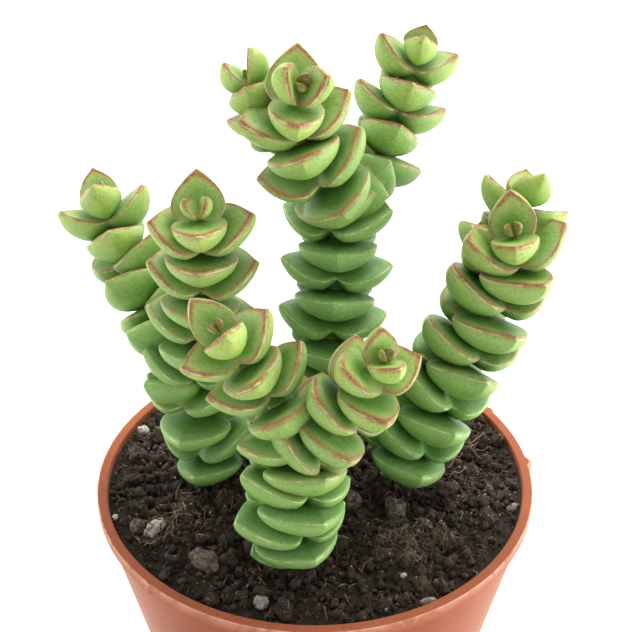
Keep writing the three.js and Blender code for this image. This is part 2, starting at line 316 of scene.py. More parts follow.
def combined(objects, operation="UNION"):
    """The first object joined with the others two by two, or cut by the second."""
    while len(objects) > 1:
        pairs = list(zip(objects[::2], objects[1::2]))
        for kept, other in pairs:
            change = kept.modifiers.new("combine", "BOOLEAN")
            change.operation = operation
            change.solver = "MANIFOLD"
            change.object = other
        graph = bpy.context.evaluated_depsgraph_get()
        graph.update()
        for kept, other in pairs:
            old = kept.data
            kept.data = bpy.data.meshes.new_from_object(kept.evaluated_get(graph))
            kept.modifiers.clear()
            bpy.data.meshes.remove(old)
        for kept, other in pairs:
            bpy.data.objects.remove(other)
        objects = objects[::2]
    return objects[0]


# Plants

class Shoot:
    """The curve of a shoot, and the pairs of leaves along it."""

    def __init__(self, spec):
        self.__dict__.update(USUAL_SHOOT | spec)
        a, b, c, d = np.array(self.path, float)
        t = np.linspace(0, 1, 201)[:, None]
        self.points = (1 - t) ** 3 * a + 3 * (1 - t) ** 2 * t * b + 3 * (1 - t) * t ** 2 * c + t ** 3 * d
        self.slopes = (1 - t) ** 2 * (b - a) + 2 * (1 - t) * t * (c - b) + t ** 2 * (d - c)
        steps = np.linalg.norm(np.diff(self.points, axis=0), axis=1)
        self.runs = np.concatenate([[0], np.cumsum(steps)])
        self.length = self.runs[-1]

    def frame(self, back, angle):
        """Place and directions at a distance below the tip, with a compass angle."""
        run = min(max(self.length - back, 0), self.length)
        centre = np.array([np.interp(run, self.runs, column) for column in self.points.T])
        up = np.array([np.interp(run, self.runs, column) for column in self.slopes.T])
        up /= np.linalg.norm(up)
        turn = math.radians(angle)
        out = np.array([math.cos(turn), math.sin(turn), 0])
        out -= up * (out @ up)
        out /= np.linalg.norm(out)
        return centre, up, out, np.cross(up, out)

    def pairs(self, full_grown):
        """What each pair of leaves is like, from the tip down."""
        made = []
        back = self.phase * self.step if full_grown else 0
        count = 0
        low = self.step / 2 if self.path[0][2] > SOIL_LEVEL + 1 else LOWEST
        while back < self.length - low:
            age = TRUNK_AGE + count if full_grown else count - self.phase
            length = self.leaf * along(GROWTH, age) * (self.bud if age < BUD_AGE else 1)
            length = length * self.small.get(count, 1)
            shut = self.shut if 0 < age < CLOSED_AGE else 0
            sway = self.sway[count] if count < len(self.sway) else 0
            frame = self.frame(back, self.turn + count * (90 + self.twist) + sway)
            risen = (frame[0][2] - POT_HEIGHT - LOWEST) / (FULL_HEIGHT - LOWEST)
            made.append({
                "frame": frame,
                "length": length,
                "half": length * along(WIDTHS, age) * self.slim,
                "depth": length * self.plump * along([LOW_DEPTH, along(DEPTHS, age)], risen),
                "open": self.open if full_grown else along(OPENING, age) - shut,
                "short": self.short.get(count, 0),
                "crown": along(CROWNS, age) * self.plump,
                "cup": along([LEAF_CUP, along(CUPS, age)], risen),
                "point": along(POINTS, age),
                "waist": along(WAISTS, age),
                "age": age,
            })
            count += 1
            back += self.step * (1 if full_grown else along(STEPS, count))
        return made


def leaf_outline(k, pair):
    """Half-width of a leaf over its greatest, from the stem's axis to the point."""
    if k < WIDEST:
        return 1 - (1 - pair["waist"]) * (1 - k / WIDEST) ** WAIST_CURVE
    return max(1 - ((k - WIDEST) / (1 - WIDEST)) ** POINT_CURVE, 0) ** pair["point"]


def leaf_fullness(k):
    """Thickness of a leaf over its greatest: half of it at the stem's axis, none at the point."""
    return math.sqrt(max(1 - k ** 4, 0)) * (1 - 0.5 * max(1 - k / WIDEST, 0) ** 1.5)


def leaf_belly(k, side_share):
    """How deep the underside hangs: 0 at the margin and 1 below the middle, fuller at the point."""
    return (1 - side_share ** (1.3 + 0.8 * smooth(k / 0.5))) ** 0.62


def drawn_forms(pair, draw):
    """Own values of the two leaves of a pair."""
    forms = {}
    for side in (-1, 1):
        forms[side] = {key: draw.uniform(low, high) for key, (low, high) in LEAF_FORMS.items()}
        forms[side]["cup"] *= pair["cup"]
    forms[1]["long"] -= pair["short"]
    return forms


def leaf_pair(pair, draw):
    """Two opposite leaves grown together round the stem: swollen below, nearly flat above."""
    centre, up, out, across = pair["frame"]
    length, half, crown = pair["length"], pair["half"], pair["crown"]
    forms = drawn_forms(pair, draw)
    places = np.sin(np.arange(1, SIDE_STATIONS) / SIDE_STATIONS * math.pi / 2) ** 1.1
    over = np.linspace(0, math.pi, UPPER_POINTS + 1)[:-1]
    under = np.linspace(math.pi, FULL_TURN, LOWER_POINTS + 1)[:-1]
    share = np.cos(np.concatenate([over, under]))
    is_upper = np.arange(len(share)) < UPPER_POINTS
    side_share = np.abs(share)

    def place(side, k, v, w, ahead=0):
        """Points at a share k of a leaf's length, v sideways and w above its plane."""
        form = forms[side]
        lean = float(smooth(k / SHANK))
        opened = math.radians(pair["open"] + form["droop"] * lean)
        run = (k + ahead) * length * (1 + form["long"] * lean)
        lift = w + form["cup"] * length * k * k
        lift = lift - (pair["cup"] - LEAF_CUP) * length
        height = run * math.cos(opened) + lift * (1 - lean + lean * math.sin(opened))
        reach = side * (run * math.sin(opened) - lean * lift * math.cos(opened))
        sideways = v + side * form["bend"] * length * k * k
        offset = np.multiply.outer(reach, out) + np.multiply.outer(sideways, across)
        return centre + offset + np.multiply.outer(height, up)

    def section(side, k):
        """A closed ring round a leaf, and how far its points lie from the margin."""
        form = forms[side]
        lean = float(smooth(k / SHANK))
        wide = half * (1 + form["wide"] * lean) * leaf_outline(k, pair)
        full = leaf_fullness(k)
        deep = pair["depth"] * full
        edge = min(MARGIN_ROUND, wide * 0.4, deep * 0.4)
        inward = wide * (1 - side_share)
        rounding = np.sqrt(np.maximum(edge ** 2 - np.clip(edge - inward, 0, edge) ** 2, 0)) - edge
        wave = math.sin(RIPPLES * k + form["shift"])
        ripple = form["wave"] * length * wave * side_share ** 4 * (1 - k)
        upper = rounding + crown * length * (1 - k ** 2) ** 0.8 * (1 - side_share ** 2) + ripple
        belly = leaf_belly(k, side_share)
        keel = form["keel"] * length * k * (1 - k) * np.clip(1 - 6 * side_share ** 2, 0, 1)
        lower = -edge - (deep - edge) * belly - keel + ripple * (1 - belly)
        swell = (BULGE + FRONT_BULGE * k ** 4) * length * full * np.sin(math.pi * belly)
        swell = swell * side_share ** 1.5 * np.sign(share)
        w = np.where(is_upper, upper, lower)
        v = share * wide + np.where(is_upper, 0, swell)
        bow = np.where(is_upper, 0, BOW * k ** 4 * belly)

        # Distance from the margin, less where the outline runs aslant, and negative on the underside
        step = 0.001
        slope = half * (leaf_outline(k, pair) - leaf_outline(k - step, pair)) / (step * length)
        from_margin = inward / math.hypot(1, slope)
        below = np.hypot(from_margin, (lower + edge) * 0.8)
        return place(side, k, v, w, bow), np.where(is_upper, from_margin, -below - 0.001)

    rings, margins, reaches, tones = [], [[0]], [[1]], [[forms[-1]["tone"]]]
    for side, k in [(-1, k) for k in places[::-1]] + [(1, 0.0)] + [(1, k) for k in places]:
        ring, margin = section(side, k)
        rings.append(ring)
        margins.append(margin)
        reaches.append(np.full(len(ring), k))
        tones.append(np.full(len(ring), forms[side]["tone"]))
    points, faces = skin(place(-1, 1, 0, 0), rings, place(1, 1, 0, 0))
    values = {
        "margin": np.concatenate([*margins, [0]]),
        "reach": np.concatenate([*reaches, [1]]),
        "tone": np.concatenate([*tones, [forms[1]["tone"]]]),
        "age": np.full(len(points), pair["age"]),
    }
    return points, faces, values


def stem_values(points, age):
    """What the leaf material reads, on a stem."""
    plain = np.ones(len(points))
    return {"margin": -2.5 * plain, "reach": 0 * plain, "tone": 0.5 * plain, "age": age * plain}


def stem(shoot, is_trunk, age):
    """A round stem along a shoot, with a point at each end."""
    turn = np.linspace(0, FULL_TURN, STEM_SIDES, endpoint=False)[:, None]
    rings = []
    for i in range(STEM_STEPS + 1):
        back = shoot.length * (1 - i / STEM_STEPS)
        centre, _, out, across = shoot.frame(back, 0)
        grown = 1 if is_trunk else min(back / STEM_TAPER, 1)
        radius = STEM_RADIUS * (STEM_TIP + (1 - STEM_TIP) * grown)
        rings.append(centre + radius * (np.cos(turn) * out + np.sin(turn) * across))
    foot, foot_up, _, _ = shoot.frame(shoot.length, 0)
    tip, tip_up, _, _ = shoot.frame(0, 0)
    first = foot - foot_up * STEM_RADIUS / 3
    last = tip + tip_up * STEM_RADIUS * STEM_TIP / 2
    points, faces = skin(first, rings, last)
    bare = np.asarray(points)[:, 2] < POT_HEIGHT + LOWEST
    return points, faces, stem_values(points, np.where(bare, FOOT_AGE, age))


def foot_of(spec):
    return (spec.get("trunk") or spec["heads"][0])["path"][0]


def plant(name, spec, seed):
    """Stems, leaves and the foot in the soil, all grown together in one closed body."""
    draw = random.Random(seed)
    parts = []
    for shoot_spec in [spec.get("trunk"), *spec["heads"]]:
        if shoot_spec:
            shoot = Shoot(shoot_spec)
            is_trunk = shoot_spec is spec.get("trunk")
            pairs = shoot.pairs(is_trunk)
            parts.append(stem(shoot, is_trunk, pairs[-1]["age"]))
            parts += [leaf_pair(pair, draw) for pair in pairs]
    foot = foot_of(spec)
    points, faces = post(foot, STEM_RADIUS, SOIL_LEVEL - FOOT_DEPTH, foot[2] + 1, STEM_SIDES)
    parts.append((points, faces, stem_values(points, FOOT_AGE)))
    made = combined([add_mesh(f"{name}.part{i}", *part) for i, part in enumerate(parts)])
    made.data.set_sharp_from_angle(angle=math.radians(70))
    made.name = made.data.name = name.removeprefix("plant_") + "_plant"
    return made


# Pot

def wall_outside(z):
    return RIM_RADIUS - LIP_STEP - WALL_TAPER * max(LIP_FOOT - z, 0)


def wall_inside(z):
    return wall_outside(z) - WALL


def filleted(corners):
    """A profile from corners (radius, z, rounding), each corner with a rounding replaced by an arc."""
    profile = []
    for i, (radius, z, rounding) in enumerate(corners):
        corner = np.array([radius, z], float)
        if not rounding:
            profile.append(corner)
            continue
        before = np.array(corners[i - 1][:2]) - corner
        after = np.array(corners[i + 1][:2]) - corner
        before = corner + before / np.linalg.norm(before) * rounding
        after = corner + after / np.linalg.norm(after) * rounding
        for t in np.linspace(0, 1, ARC_STEPS + 1):
            profile.append((1 - t) ** 2 * before + 2 * (1 - t) * t * corner + t ** 2 * after)
    return profile


def pot_profile():
    """Half of the pot's section, from the middle of the underside round to the middle of the floor."""
    crest = RIM_RADIUS - FLASH_WIDTH
    return filleted([
        (HUB_RADIUS, 0, 0),
        (wall_outside(0), 0, CORNER_ROUND),
        (wall_outside(LIP_FOOT), LIP_FOOT, 0.25),
        (RIM_RADIUS, LIP_FOOT, 0.2),
        (RIM_RADIUS, POT_HEIGHT - FLASH, 0.12),
        (crest, POT_HEIGHT, 0.08),
        (crest - 0.2, POT_HEIGHT - FLASH, 0.06),
        (wall_inside(POT_HEIGHT), POT_HEIGHT - FLASH, EDGE_ROUND),
        (wall_inside(LIP_FOOT), LIP_FOOT, 0),
        (wall_inside(FLOOR_THICKNESS), FLOOR_THICKNESS, 0.8),
        (HUB_RADIUS, FLOOR_THICKNESS, 0),
    ])


def pot():
    """The moulded cup with its lip and drain holes, and how much each point is worn."""
    crest = RIM_RADIUS - FLASH_WIDTH
    angles = np.linspace(0, FULL_TURN, POT_SECTORS, endpoint=False)
    rings, wear = [], [[0]]
    for radius, z in pot_profile():
        swell = np.zeros(POT_SECTORS)
        if radius > wall_outside(z) + 0.02 and z > LIP_FOOT - 0.2:
            for degrees, height, half_width in NUBS:
                away = (angles - math.radians(degrees) + math.pi) % FULL_TURN - math.pi
                share = (radius - wall_outside(z)) / LIP_STEP
                swell += height * share * np.exp(-(away * RIM_RADIUS / half_width) ** 4)
        x, y = (radius + swell) * np.cos(angles), (radius + swell) * np.sin(angles)
        rings.append(np.stack([x, y, np.full(POT_SECTORS, z)], axis=1))
        on_edge = math.exp(-((radius - crest) / FLASH_WIDTH) ** 2) if z > POT_HEIGHT - 0.4 else 0
        wear.append(np.full(POT_SECTORS, on_edge))
    points, faces = skin((0, 0, 0), rings, (0, 0, FLOOR_THICKNESS))
    cup = add_mesh("pot_moulding", points, faces, {"wear": np.concatenate([*wear, [0]])})
    for i in range(DRAIN_HOLES):
        turn = i / DRAIN_HOLES * FULL_TURN
        centre = (DRAIN_CIRCLE * math.cos(turn), DRAIN_CIRCLE * math.sin(turn))
        points, faces = post(centre, DRAIN_RADIUS, -1, FLOOR_THICKNESS + 1, DRAIN_SIDES)
        drill = add_mesh(f"drill.{i}", points, faces, {"wear": np.zeros(len(points))})
        cup = combined([cup, drill], "DIFFERENCE")
    cup.data.set_sharp_from_angle(angle=math.radians(40))
    return cup


# Soil

def seeded(seed):
    """The repeatable draws that the solids use."""
    state = seed
    while True:
        state = state * 16807 % 2147483647
        yield state / 2147483647


SOIL_REACH = wall_inside(POT_HEIGHT) - CLEARANCE


def soil_lumps():
    draws = seeded(SOIL_SEED)
    lumps = []
    for _ in range(SOIL_LUMPS):
        turn = next(draws) * FULL_TURN
        reach = SOIL_REACH * math.sqrt(next(draws))
        radius = LUMP_RADIUS * (0.6 + 0.8 * next(draws))
        height = SOIL_RELIEF * (2 * next(draws) - 1)
        lumps.append((reach * math.cos(turn), reach * math.sin(turn), radius, height))
    return lumps


LUMPS = soil_lumps()


def soil_level(x, y):
    """Height of the soil of the solids."""
    z = sum(
        height * np.exp(-((x - lx) ** 2 + (y - ly) ** 2) / radius ** 2)
        for lx, ly, radius, height in LUMPS
    )
    z = z * np.clip((SOIL_REACH - np.hypot(x, y)) / SOIL_EDGE, 0, 1)
    for spec in PLANTS.values():
        foot = foot_of(spec)
        away = (x - foot[0]) ** 2 + (y - foot[1]) ** 2
        z = z + spec["ground"] * np.exp(-away / FOOT_RADIUS ** 2)
    return SOIL_LEVEL + z


# Stones and larger lumps that the soil shows: place, size and lightness
STONES = [
    ((-29, -17.9), (1.1, 2.1, 1.2), 0.95),
    ((-36.4, 12), (1.3, 1, 0.8), 0.85),
    ((-36.8, -15.2), (0.5, 0.5, 0.5), 0.95),
    ((-32.3, -17.6), (1.2, 1.2, 1), 0.45),
    ((-18.9, -26.6), (3, 1.6, 1.5), 0.33),
    ((-8.9, -35.6), (1.1, 1, 1), 0.7),
    ((15, -13.2), (2.2, 1.7, 1.9), 0.42),
    ((7.2, -10.6), (1.5, 1.7, 1.6), 0.38),
    ((15.2, -29.4), (0.5, 0.4, 0.4), 0.9),
    ((37, -12.5), (1.5, 0.6, 0.6), 0.52),
    ((18.6, -35.2), (1.2, 0.5, 0.5), 0.6),
]

# Layers of crumbs: how many, their sizes, by what power small ones outnumber large ones, how high
# they lie over their size, how finely they are built, how uneven they are, and their seed
CRUMB_LAYERS = {
    "soil_clumps": {
        "count": 260, "sizes": (1.1, 2.5), "power": 1.8, "lie": (-0.6, 0.15),
        "fineness": 3, "rough": 0.36, "seed": 21,
    },
    "soil_crumbs": {
        "count": 1500, "sizes": (0.4, 1.1), "power": 1.6, "lie": (-0.6, 0.15),
        "fineness": 2, "rough": 0.3, "seed": 22,
    },
    "soil_grit": {
        "count": 5000, "sizes": (0.14, 0.4), "power": 1.2, "lie": (-0.3, 0.3),
        "fineness": 1, "rough": 0.35, "seed": 23,
    },
}
LAYERS_SEED = 5

# Crumbs heaped against the foot of each plant, highest at the stem and none beyond the width
HEAP = {"count": 260, "sizes": (0.35, 0.9), "height": 3.2, "width": 3, "rough": 0.3, "seed": 24}
HEAPS_SEED = 6

STONE_SEED = 9
SPECK_COUNT = 900
SPECK_SEED = 41

# Where the peat has dried to a paler brown: centre and radius
DRY_PATCHES = [((-28, -14), 9), ((18, -21), 8), ((31, -8), 8), ((-33, 6), 7)]

# Bunches of threads: where they lie, which way they run, how they curl, and how pale they are
BUNCHES = [
    {
        "count": 240, "centre": (0, 0), "spread": SOIL_REACH - 1, "heading": 0, "stray": math.pi,
        "curl": 0.3, "length": (1.2, 4.5), "radius": (0.02, 0.04), "tone": (0.1, 0.65),
    },
    {
        "count": 420, "centre": (0, 0), "spread": SOIL_REACH - 1, "heading": 0, "stray": math.pi,
        "curl": 0.06, "length": (0.8, 2.6), "radius": (0.06, 0.17), "tone": (0, 0.35),
    },
    {
        "count": 110, "centre": (-27, -15), "spread": 8, "heading": 0.5, "stray": 1.2,
        "curl": 0.08, "length": (1, 3.2), "radius": (0.05, 0.13), "tone": (0.2, 0.75),
    },
    {
        "count": 150, "centre": (18, -20), "spread": 6, "heading": -1.2, "stray": 2.6,
        "curl": 0.45, "length": (2, 6.5), "radius": (0.014, 0.026), "tone": (0.75, 1),
    },
    {
        "count": 40, "centre": (25, 4), "spread": 9, "heading": 0.1, "stray": 0.8,
        "curl": 0.08, "length": (3, 7), "radius": (0.08, 0.16), "tone": (0.1, 0.5),
    },
]
STRAND_SEED = 31
STRAND_POINTS = 9
STRAND_SIDES = 5
SPARE = 0.4  # free of specks and threads along the pot's wall


def soil_bed():
    """The soil as one body, with a crumbly top."""
    rings, sectors = 74, 400
    top = []
    for r in range(1, rings + 1):
        ring = circle((0, 0), SOIL_REACH * r / rings, 0, sectors)[::-1]
        level = soil_level(ring[:, 0], ring[:, 1])
        for point, z in zip(ring, level):
            near = noise.voronoi(Vector((point[0] / 2.6, point[1] / 2.6, 3)))[0][0]
            small = noise.voronoi(Vector((point[0] / 1.1, point[1] / 1.1, 5)))[0][0]
            fine = noise.fractal(Vector((point[0] * 0.9, point[1] * 0.9, 7)), 1, 2, 4)
            point[2] = z + 0.15 - 0.9 * near - 0.5 * small + 0.45 * fine
        top.append(ring)
    low = FLOOR_THICKNESS + CLEARANCE
    sides = [circle((0, 0), wall_inside(z) - CLEARANCE, z, sectors)[::-1] for z in (LIP_FOOT, 60, 30, low)]
    points, faces = skin((0, 0, top[0][0][2]), [*top, *sides], (0, 0, low))
    return add_mesh("soil_bed", points, faces, {"tone": np.full(len(points), 0.4)})


def ball(subdivisions):
    """Points and faces of a unit ball of nearly equal triangles."""
    held = bmesh.new()
    bmesh.ops.create_icosphere(held, subdivisions=subdivisions, radius=1)
    points = np.array([vertex.co for vertex in held.verts])
    faces = np.array([[vertex.index for vertex in face.verts] for face in held.faces])
    held.free()
    return points, faces


def gap_to(plants, point):
    """Distance from a point to the nearest plant."""
    return min(tree.find_nearest(Vector(point * MM))[3] for tree in plants) / MM


def turned(draw, count):
    """Random rotations."""
    q = draw.normal(size=(count, 4))
    w, x, y, z = (q / np.linalg.norm(q, axis=1, keepdims=True)).T
    return np.stack([
        np.stack([1 - 2 * (y * y + z * z), 2 * (x * y - z * w), 2 * (x * z + y * w)], axis=1),
        np.stack([2 * (x * y + z * w), 1 - 2 * (x * x + z * z), 2 * (y * z - x * w)], axis=1),
        np.stack([2 * (x * z - y * w), 2 * (y * z + x * w), 1 - 2 * (x * x + y * y)], axis=1),
    ], axis=1)


def crumbs(name, centres, radii, fineness, seed, rough, tones=None):
    """Uneven closed lumps, one at each centre."""
    draw = np.random.default_rng(seed)
    points, faces = ball(fineness)
    count = len(centres)
    shape = radii[:, None] * draw.uniform(0.65, 1.25, (count, 3))
    uneven = 1 + rough * draw.uniform(-1, 1, (count, len(points)))
    if fineness > 1:
        shifts = draw.uniform(-50, 50, (count, 3))
        uneven = np.array([
            [1 + rough * 1.6 * noise.fractal(Vector(p * 1.6 + shift), 0.7, 2, 4) for p in points]
            for shift in shifts
        ])
    local = points[None] * uneven[..., None] * shape[:, None]
    placed = np.einsum("nij,npj->npi", turned(draw, count), local) + np.asarray(centres)[:, None]
    every = (faces[None] + np.arange(count)[:, None, None] * len(points)).reshape(-1, 3)
    tones = draw.random(count) if tones is None else np.asarray(tones)
    return add_mesh(name, placed.reshape(-1, 3), every.tolist(), {"tone": np.repeat(tones, len(points))})


def scattered(draw, layer, plants):
    """Places and sizes for crumbs on the soil, clear of the leaves, the stones and the pot."""
    count = layer["count"]
    small, large = layer["sizes"]
    radii = small + (large - small) * draw.random(count) ** layer["power"]
    turn = draw.random(count) * FULL_TURN
    reach = (SOIL_REACH - radii - 0.1) * np.sqrt(draw.random(count))
    x, y = reach * np.cos(turn), reach * np.sin(turn)
    z = soil_level(x, y) + radii * draw.uniform(*layer["lie"], count)
    centres = np.stack([x, y, z], axis=1)
    keep = []
    for centre, radius in zip(centres, radii):
        off_stones = min(
            math.hypot(centre[0] - sx, centre[1] - sy) - (size[0] + size[1]) / 2
            for (sx, sy), size, _ in STONES
        )
        keep.append(gap_to(plants, centre) > radius * 0.8 and off_stones > radius * 0.7)
    return centres[keep], radii[keep]


def heaped(draw, foot, plants):
    """Places and sizes for crumbs heaped against the foot of a stem."""
    count = HEAP["count"]
    radii = draw.uniform(*HEAP["sizes"], count)
    turn = draw.random(count) * FULL_TURN
    away = draw.random(count)
    reach = STEM_RADIUS + radii + 0.05 + HEAP["width"] * away
    x, y = foot[0] + reach * np.cos(turn), foot[1] + reach * np.sin(turn)
    z = soil_level(x, y) + HEAP["height"] * (1 - away) * draw.random(count)
    centres = np.stack([x, y, z], axis=1)
    keep = [gap_to(plants, centre) > radius for centre, radius in zip(centres, radii)]
    return centres[keep], radii[keep]


def stones():
    """Stones and lumps half sunk in the soil, the earthy ones more crumbly."""
    draw = np.random.default_rng(STONE_SEED)
    points, faces = ball(4)
    bodies = []
    for (x, y), size, tone in STONES:
        crumbly = 0.14 if tone < 0.5 else 0.03
        angular = np.sign(points) * np.abs(points) ** 0.8
        shift = draw.uniform(-50, 50, 3)
        uneven = np.array([
            1 + 0.35 * noise.fractal(Vector(p * 1.3 + shift), 1, 2, 3)
            + crumbly * noise.fractal(Vector(p * 5 + shift), 0.8, 2, 3) for p in points
        ])
        turn = draw.uniform(0, math.pi)
        local = angular * uneven[:, None] * size
        spun = local @ np.array([
            [math.cos(turn), math.sin(turn), 0], [-math.sin(turn), math.cos(turn), 0], [0, 0, 1],
        ])
        z = float(soil_level(x, y)) + size[2] * 0.35
        bodies.append((spun + (x, y, z), faces.tolist(), tone))
    return add_bodies("soil_stones", bodies)


def surface(x, y, grounds):
    """Height of the highest of the finished soil pieces, or None beside them."""
    start = Vector((x * MM, y * MM, (SOIL_LEVEL + 10) * MM))
    hits = [tree.ray_cast(start, Vector((0, 0, -1)))[0] for tree in grounds]
    heights = [hit.z / MM for hit in hits if hit]
    return max(heights) if heights else None


def specks(grounds, plants):
    """Pale grains that lie on the finished soil, thicker in its dry patches."""
    draw = np.random.default_rng(SPECK_SEED)
    centres, radii = [], []
    for _ in range(SPECK_COUNT):
        if draw.random() < 0.45:
            (cx, cy), spread = DRY_PATCHES[draw.integers(len(DRY_PATCHES))]
            x, y = draw.normal((cx, cy), spread / 2)
        else:
            turn, reach = draw.random() * FULL_TURN, SOIL_REACH * math.sqrt(draw.random())
            x, y = reach * math.cos(turn), reach * math.sin(turn)
        radius = 0.07 + 0.2 * draw.random() ** 3
        if math.hypot(x, y) > SOIL_REACH - SPARE:
            continue
        z = surface(x, y, grounds)
        if gap_to(plants, np.array([x, y, z])) > radius:
            centres.append((x, y, z + radius * 0.2))
            radii.append(radius)
    tones = draw.uniform(0.45, 0.95, len(centres))
    return crumbs("soil_specks", centres, np.array(radii), 1, SPECK_SEED, 0.3, tones)


def strand(points, radius):
    """A thin thread along points, with a point at each end."""
    slopes = np.gradient(points, axis=0)
    slopes /= np.linalg.norm(slopes, axis=1, keepdims=True)
    rings = []
    turn = np.linspace(0, FULL_TURN, STRAND_SIDES, endpoint=False)[:, None]
    for point, slope in zip(points[1:-1], slopes[1:-1]):
        side = np.cross(slope, (0.3, 0.2, 0.93))
        side /= np.linalg.norm(side)
        rings.append(point + radius * (np.cos(turn) * side + np.sin(turn) * np.cross(slope, side)))
    return skin(points[0], rings, points[-1])


def wandered(draw, bunch, grounds):
    """Points of a thread that wanders over the soil until it is whole or meets the wall, and its radius."""
    turn, reach = draw.uniform(0, FULL_TURN), bunch["spread"] * math.sqrt(draw.random())
    x = bunch["centre"][0] + reach * math.cos(turn)
    y = bunch["centre"][1] + reach * math.sin(turn)
    heading = bunch["heading"] + draw.uniform(-1, 1) * bunch["stray"]
    curl = draw.uniform(-1, 1) * bunch["curl"]
    length, radius = draw.uniform(*bunch["length"]), draw.uniform(*bunch["radius"])
    path = []
    while len(path) < STRAND_POINTS and math.hypot(x, y) <= SOIL_REACH - SPARE:
        path.append([x, y, surface(x, y, grounds)])
        heading += curl + draw.uniform(-0.5, 0.5) * bunch["curl"]
        x += length / STRAND_POINTS * math.cos(heading)
        y += length / STRAND_POINTS * math.sin(heading)
    return np.array(path), radius


def fibres(grounds, plants):
    """Loose threads and bits of peat that lie on the finished soil."""
    draw = random.Random(STRAND_SEED)
    bodies = []
    for bunch in BUNCHES:
        for _ in range(bunch["count"]):
            path, radius = wandered(draw, bunch, grounds)
            if len(path) < STRAND_POINTS:
                continue
            laid = path[:, 2].copy()
            for _ in range(3):
                laid = np.maximum(laid, np.convolve(np.pad(laid, 1, "edge"), [0.25, 0.5, 0.25], "valid"))
            path[:, 2] = laid + radius * 0.6
            if min(gap_to(plants, point) for point in path) < 0.15:
                continue
            bodies.append((*strand(path, radius), draw.uniform(*bunch["tone"])))
    return add_bodies("soil_fibres", bodies)


# Materials

class Look:
    """A procedural material: one surface shader and the nodes that feed it."""

    def __init__(self, name, **settings):
        self.material = bpy.data.materials.new(name)
        self.material.use_nodes = True
        self.tree = self.material.node_tree
        self.shader = self.tree.nodes["Principled BSDF"]
        for socket, value in settings.items():
            self.shader.inputs[socket.replace("_", " ")].default_value = value
        place = self.node("TexCoord")
        scaled = self.node("VectorMath")
        scaled.operation = "SCALE"
        scaled.inputs["Scale"].default_value = 1 / MM
        self.tree.links.new(place.outputs["Object"], scaled.inputs[0])
        self.place = scaled.outputs[0]  # in millimetres

    def node(self, kind):
        return self.tree.nodes.new("ShaderNode" + kind)

    def feed(self, socket, value):
        if isinstance(value, bpy.types.NodeSocket):
            self.tree.links.new(value, socket)
        else:
            socket.default_value = value

    def value(self, name):
        """A value that the mesh holds at its points."""
        node = self.node("Attribute")
        node.attribute_name = name
        return node.outputs["Fac"]

    def math(self, operation, a, b=0.0, clamp=False):
        node = self.node("Math")
        node.operation = operation
        node.use_clamp = clamp
        self.feed(node.inputs[0], a)
        self.feed(node.inputs[1], b)
        return node.outputs[0]

    def times(self, a, b, clamp=False):
        return self.math("MULTIPLY", a, b, clamp)

    def plus(self, a, b):
        return self.math("ADD", a, b)

    def ramp(self, value, low, high, start=0.0, end=1.0):
        """Value from start to end as the input goes smoothly from low to high."""
        node = self.node("MapRange")
        node.interpolation_type = "SMOOTHSTEP"
        for i, item in enumerate([value, low, high, start, end]):
            self.feed(node.inputs[i], item)
        return node.outputs[0]

    def colours(self, value, stops):
        """Colour between stops, each a place on the scale of the value and a colour."""
        node = self.node("ValToRGB")
        held = node.color_ramp.elements
        while len(held) < len(stops):
            held.new(0.5)
        for element, (place, colour) in zip(held, stops):
            element.position = place
            element.color = (*colour, 1)
        self.feed(node.inputs[0], value)
        return node.outputs[0]

    def mix(self, share, a, b):
        """Colour a, with a share of b laid over it."""
        node = self.node("Mix")
        node.data_type = "RGBA"
        self.feed(node.inputs[0], share)
        self.feed(node.inputs[6], (*a, 1) if isinstance(a, tuple) else a)
        self.feed(node.inputs[7], (*b, 1) if isinstance(b, tuple) else b)
        return node.outputs[2]

    def noise(self, size, detail=3.0, rough=0.5, distortion=0.0):
        """Noise around 0.5, with features of a size in millimetres."""
        node = self.node("TexNoise")
        self.feed(node.inputs["Vector"], self.place)
        node.inputs["Scale"].default_value = 1 / size
        node.inputs["Detail"].default_value = detail
        node.inputs["Roughness"].default_value = rough
        node.inputs["Distortion"].default_value = distortion
        return node.outputs["Fac"]

    def cells(self, size):
        """Distance to the nearest of scattered dots, over their spacing in millimetres."""
        node = self.node("TexVoronoi")
        self.feed(node.inputs["Vector"], self.place)
        node.inputs["Scale"].default_value = 1 / size
        return node.outputs["Distance"]

    def height(self):
        """Height above the pot's underside."""
        node = self.node("SeparateXYZ")
        self.feed(node.inputs[0], self.place)
        return node.outputs[2]

    def distance(self, point):
        """Distance from a point in millimetres."""
        node = self.node("VectorMath")
        node.operation = "DISTANCE"
        self.feed(node.inputs[0], self.place)
        node.inputs[1].default_value = point
        return node.outputs["Value"]

    def bump(self, height, depth, strength=1.0):
        """Relief of a depth in millimetres."""
        node = self.node("Bump")
        node.inputs["Strength"].default_value = strength
        node.inputs["Distance"].default_value = depth * MM
        self.feed(node.inputs["Height"], height)
        self.feed(self.shader.inputs["Normal"], node.outputs[0])

    def put(self, socket, value):
        self.feed(self.shader.inputs[socket], value)


# Greens of a leaf at four ages, from the youngest to the oldest
GREEN_AGES = [0, 0.3, 0.6, 1]
GREENS = {
    "upper": [(0.19, 0.38, 0.045), (0.13, 0.285, 0.035), (0.1, 0.23, 0.034), (0.09, 0.222, 0.046)],
    "upper edge": [(0.37, 0.5, 0.13), (0.29, 0.42, 0.125), (0.225, 0.37, 0.105), (0.175, 0.33, 0.095)],
    "lower": [(0.26, 0.45, 0.068), (0.18, 0.34, 0.052), (0.148, 0.3, 0.05), (0.135, 0.3, 0.06)],
    "lower edge": [(0.38, 0.53, 0.125), (0.31, 0.46, 0.125), (0.275, 0.43, 0.112), (0.225, 0.39, 0.105)],
}


